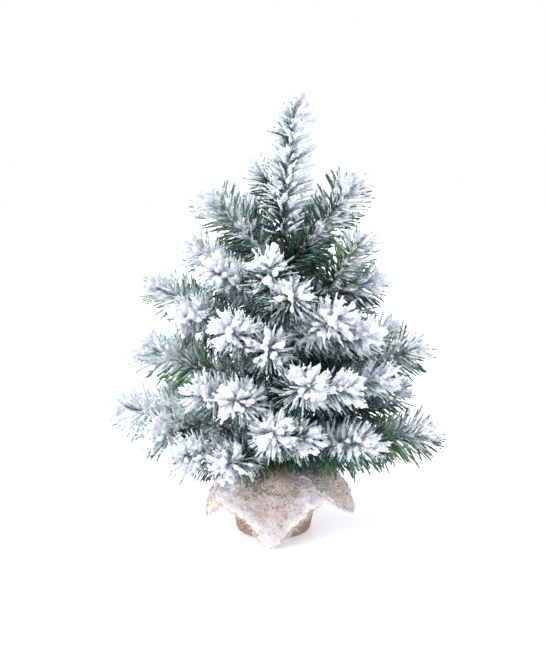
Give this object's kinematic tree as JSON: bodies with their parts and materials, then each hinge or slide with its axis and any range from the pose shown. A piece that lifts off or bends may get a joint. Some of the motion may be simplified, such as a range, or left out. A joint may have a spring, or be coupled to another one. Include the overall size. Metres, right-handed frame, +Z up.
{
  "type": "artificial tabletop tree",
  "caption": "Small artificial evergreen with snow-flocked wire branches on a taped trunk, standing in a weighted pot wrapped in burlap.",
  "frame": {"origin": "centre of the base's underside, below the upright part of the trunk", "axes": "+Z up along the trunk; -Y is the front, with the burlap's snowy front corner; +X to the right seen from the front"},
  "size_m": [0.3348, 0.3098, 0.4506],
  "materials": {
    "needles": "matte",
    "flock": "matte",
    "wire": "satin",
    "rod": "satin",
    "tape": "satin",
    "burlap": "matte",
    "twine": "matte",
    "cup": "matte",
    "cement": "matte"
  },
  "bodies": {
    "trunk_and_base": {"base_cup": "cup", "cement_weight": "cement", "burlap_wrap": "burlap", "twine_tie": "twine", "trunk_rod": "rod", "trunk_tape": "tape"},
    "branch_01": {"branch_01_wire": "wire", "branch_01_needles": "needles"},
    "branch_02": {"branch_02_wire": "wire", "branch_02_needles": "needles"},
    "branch_03": {"branch_03_wire": "wire", "branch_03_needles": "needles"},
    "branch_04": {"branch_04_wire": "wire", "branch_04_needles": "needles"},
    "branch_05": {"branch_05_wire": "wire", "branch_05_needles": "needles"},
    "branch_06": {"branch_06_wire": "wire", "branch_06_needles": "needles"},
    "branch_07": {"branch_07_wire": "wire", "branch_07_needles": "needles"},
    "branch_08": {"branch_08_wire": "wire", "branch_08_needles": "needles"},
    "branch_09": {"branch_09_wire": "wire", "branch_09_needles": "needles"},
    "branch_10": {"branch_10_wire": "wire", "branch_10_needles": "needles"},
    "branch_11": {"branch_11_wire": "wire", "branch_11_needles": "needles"},
    "branch_12": {"branch_12_wire": "wire", "branch_12_needles": "needles"},
    "branch_13": {"branch_13_wire": "wire", "branch_13_needles": "needles"},
    "branch_14": {"branch_14_wire": "wire", "branch_14_needles": "needles"},
    "branch_15": {"branch_15_wire": "wire", "branch_15_needles": "needles"},
    "branch_16": {"branch_16_wire": "wire", "branch_16_needles": "needles"},
    "branch_17": {"branch_17_wire": "wire", "branch_17_needles": "needles"},
    "branch_18": {"branch_18_wire": "wire", "branch_18_needles": "needles"},
    "branch_19": {"branch_19_wire": "wire", "branch_19_needles": "needles"},
    "branch_20": {"branch_20_wire": "wire", "branch_20_needles": "needles"},
    "branch_21": {"branch_21_wire": "wire", "branch_21_needles": "needles"},
    "branch_22": {"branch_22_wire": "wire", "branch_22_needles": "needles"},
    "branch_23": {"branch_23_wire": "wire", "branch_23_needles": "needles"},
    "branch_24": {"branch_24_wire": "wire", "branch_24_needles": "needles"},
    "leader": {"leader_wire": "wire", "leader_needles": "needles"}
  },
  "joints": [
    {"name": "branch_01_bend", "type": "hinge", "parent": "trunk_and_base", "child": "branch_01", "pos_m": [0, -0.0059, 0.101], "axis": [-1, 0, 0], "range_deg": [-20, 12]},
    {"name": "branch_02_bend", "type": "hinge", "parent": "trunk_and_base", "child": "branch_02", "pos_m": [0.00402, -0.00432, 0.09], "axis": [-0.7314, -0.682, 0], "range_deg": [-20, 12]},
    {"name": "branch_03_bend", "type": "hinge", "parent": "trunk_and_base", "child": "branch_03", "pos_m": [0.00587, -0.00062, 0.084], "axis": [-0.1045, -0.9945, 0], "range_deg": [-20, 12]},
    {"name": "branch_04_bend", "type": "hinge", "parent": "trunk_and_base", "child": "branch_04", "pos_m": [0.00535, 0.00249, 0.094], "axis": [0.4226, -0.9063, 0], "range_deg": [-20, 12]},
    {"name": "branch_05_bend", "type": "hinge", "parent": "trunk_and_base", "child": "branch_05", "pos_m": [0.00082, 0.00584, 0.087], "axis": [0.9903, -0.1392, 0], "range_deg": [-20, 12]},
    {"name": "branch_06_bend", "type": "hinge", "parent": "trunk_and_base", "child": "branch_06", "pos_m": [-0.0041, 0.00424, 0.092], "axis": [0.7193, 0.6947, 0], "range_deg": [-20, 12]},
    {"name": "branch_07_bend", "type": "hinge", "parent": "trunk_and_base", "child": "branch_07", "pos_m": [-0.00587, -0.00062, 0.098], "axis": [-0.1045, 0.9945, 0], "range_deg": [-20, 12]},
    {"name": "branch_08_bend", "type": "hinge", "parent": "trunk_and_base", "child": "branch_08", "pos_m": [-0.00432, -0.00402, 0.084], "axis": [-0.682, 0.7314, 0], "range_deg": [-20, 12]},
    {"name": "branch_09_bend", "type": "hinge", "parent": "trunk_and_base", "child": "branch_09", "pos_m": [0.00153, -0.0057, 0.138], "axis": [-0.9659, -0.2588, 0], "range_deg": [-12, 12]},
    {"name": "branch_10_bend", "type": "hinge", "parent": "trunk_and_base", "child": "branch_10", "pos_m": [-0.00172, -0.00564, 0.13], "axis": [-0.9563, 0.2924, 0], "range_deg": [-12, 12]},
    {"name": "branch_11_bend", "type": "hinge", "parent": "trunk_and_base", "child": "branch_11", "pos_m": [0.0059, -0.00021, 0.148], "axis": [-0.0349, -0.9994, 0], "range_deg": [-12, 12]},
    {"name": "branch_12_bend", "type": "hinge", "parent": "trunk_and_base", "child": "branch_12", "pos_m": [0.0033, 0.00489, 0.136], "axis": [0.829, -0.5592, 0], "range_deg": [-12, 12]},
    {"name": "branch_13_bend", "type": "hinge", "parent": "trunk_and_base", "child": "branch_13", "pos_m": [-0.00259, 0.0053, 0.142], "axis": [0.8988, 0.4384, 0], "range_deg": [-12, 12]},
    {"name": "branch_14_bend", "type": "hinge", "parent": "trunk_and_base", "child": "branch_14", "pos_m": [-0.00589, -0.00031, 0.146], "axis": [-0.0523, 0.9986, 0], "range_deg": [-12, 12]},
    {"name": "branch_15_bend", "type": "hinge", "parent": "trunk_and_base", "child": "branch_15", "pos_m": [-0.00211, -0.00551, 0.184], "axis": [-0.9336, 0.3584, 0], "range_deg": [-12, 12]},
    {"name": "branch_16_bend", "type": "hinge", "parent": "trunk_and_base", "child": "branch_16", "pos_m": [0.00344, -0.00483, 0.19], "axis": [-0.8192, -0.5736, 0], "range_deg": [-12, 12]},
    {"name": "branch_17_bend", "type": "hinge", "parent": "trunk_and_base", "child": "branch_17", "pos_m": [0.00279, 0.00521, 0.186], "axis": [0.8829, -0.4695, 0], "range_deg": [-12, 12]},
    {"name": "branch_18_bend", "type": "hinge", "parent": "trunk_and_base", "child": "branch_18", "pos_m": [-0.00579, 0.00021, 0.194], "axis": [0.0349, 0.9994, 0], "range_deg": [-12, 12]},
    {"name": "branch_19_bend", "type": "hinge", "parent": "trunk_and_base", "child": "branch_19", "pos_m": [0.00273, -0.00577, 0.232], "axis": [-0.9781, -0.2079, 0], "range_deg": [-12, 12]},
    {"name": "branch_20_bend", "type": "hinge", "parent": "trunk_and_base", "child": "branch_20", "pos_m": [-0.00377, -0.00123, 0.24], "axis": [-0.2079, 0.9781, 0], "range_deg": [-12, 12]},
    {"name": "branch_21_bend", "type": "hinge", "parent": "trunk_and_base", "child": "branch_21", "pos_m": [0.00764, 0, 0.236], "axis": [0, -1, 0], "range_deg": [-12, 12]},
    {"name": "branch_22_bend", "type": "hinge", "parent": "trunk_and_base", "child": "branch_22", "pos_m": [0.00125, 0.00587, 0.238], "axis": [0.9945, 0.1045, 0], "range_deg": [-12, 12]},
    {"name": "branch_23_bend", "type": "hinge", "parent": "trunk_and_base", "child": "branch_23", "pos_m": [-0.00022, -0.00041, 0.281], "axis": [-0.0698, 0.9976, 0], "range_deg": [-12, 12]},
    {"name": "branch_24_bend", "type": "hinge", "parent": "trunk_and_base", "child": "branch_24", "pos_m": [0.0104, 0.00021, 0.27], "axis": [0.0349, -0.9994, 0], "range_deg": [-12, 12]},
    {"name": "leader_bend", "type": "hinge", "parent": "trunk_and_base", "child": "leader", "pos_m": [0.008, 0, 0.3015], "axis": [0, 1, 0], "range_deg": [-12, 12]}
  ]
}
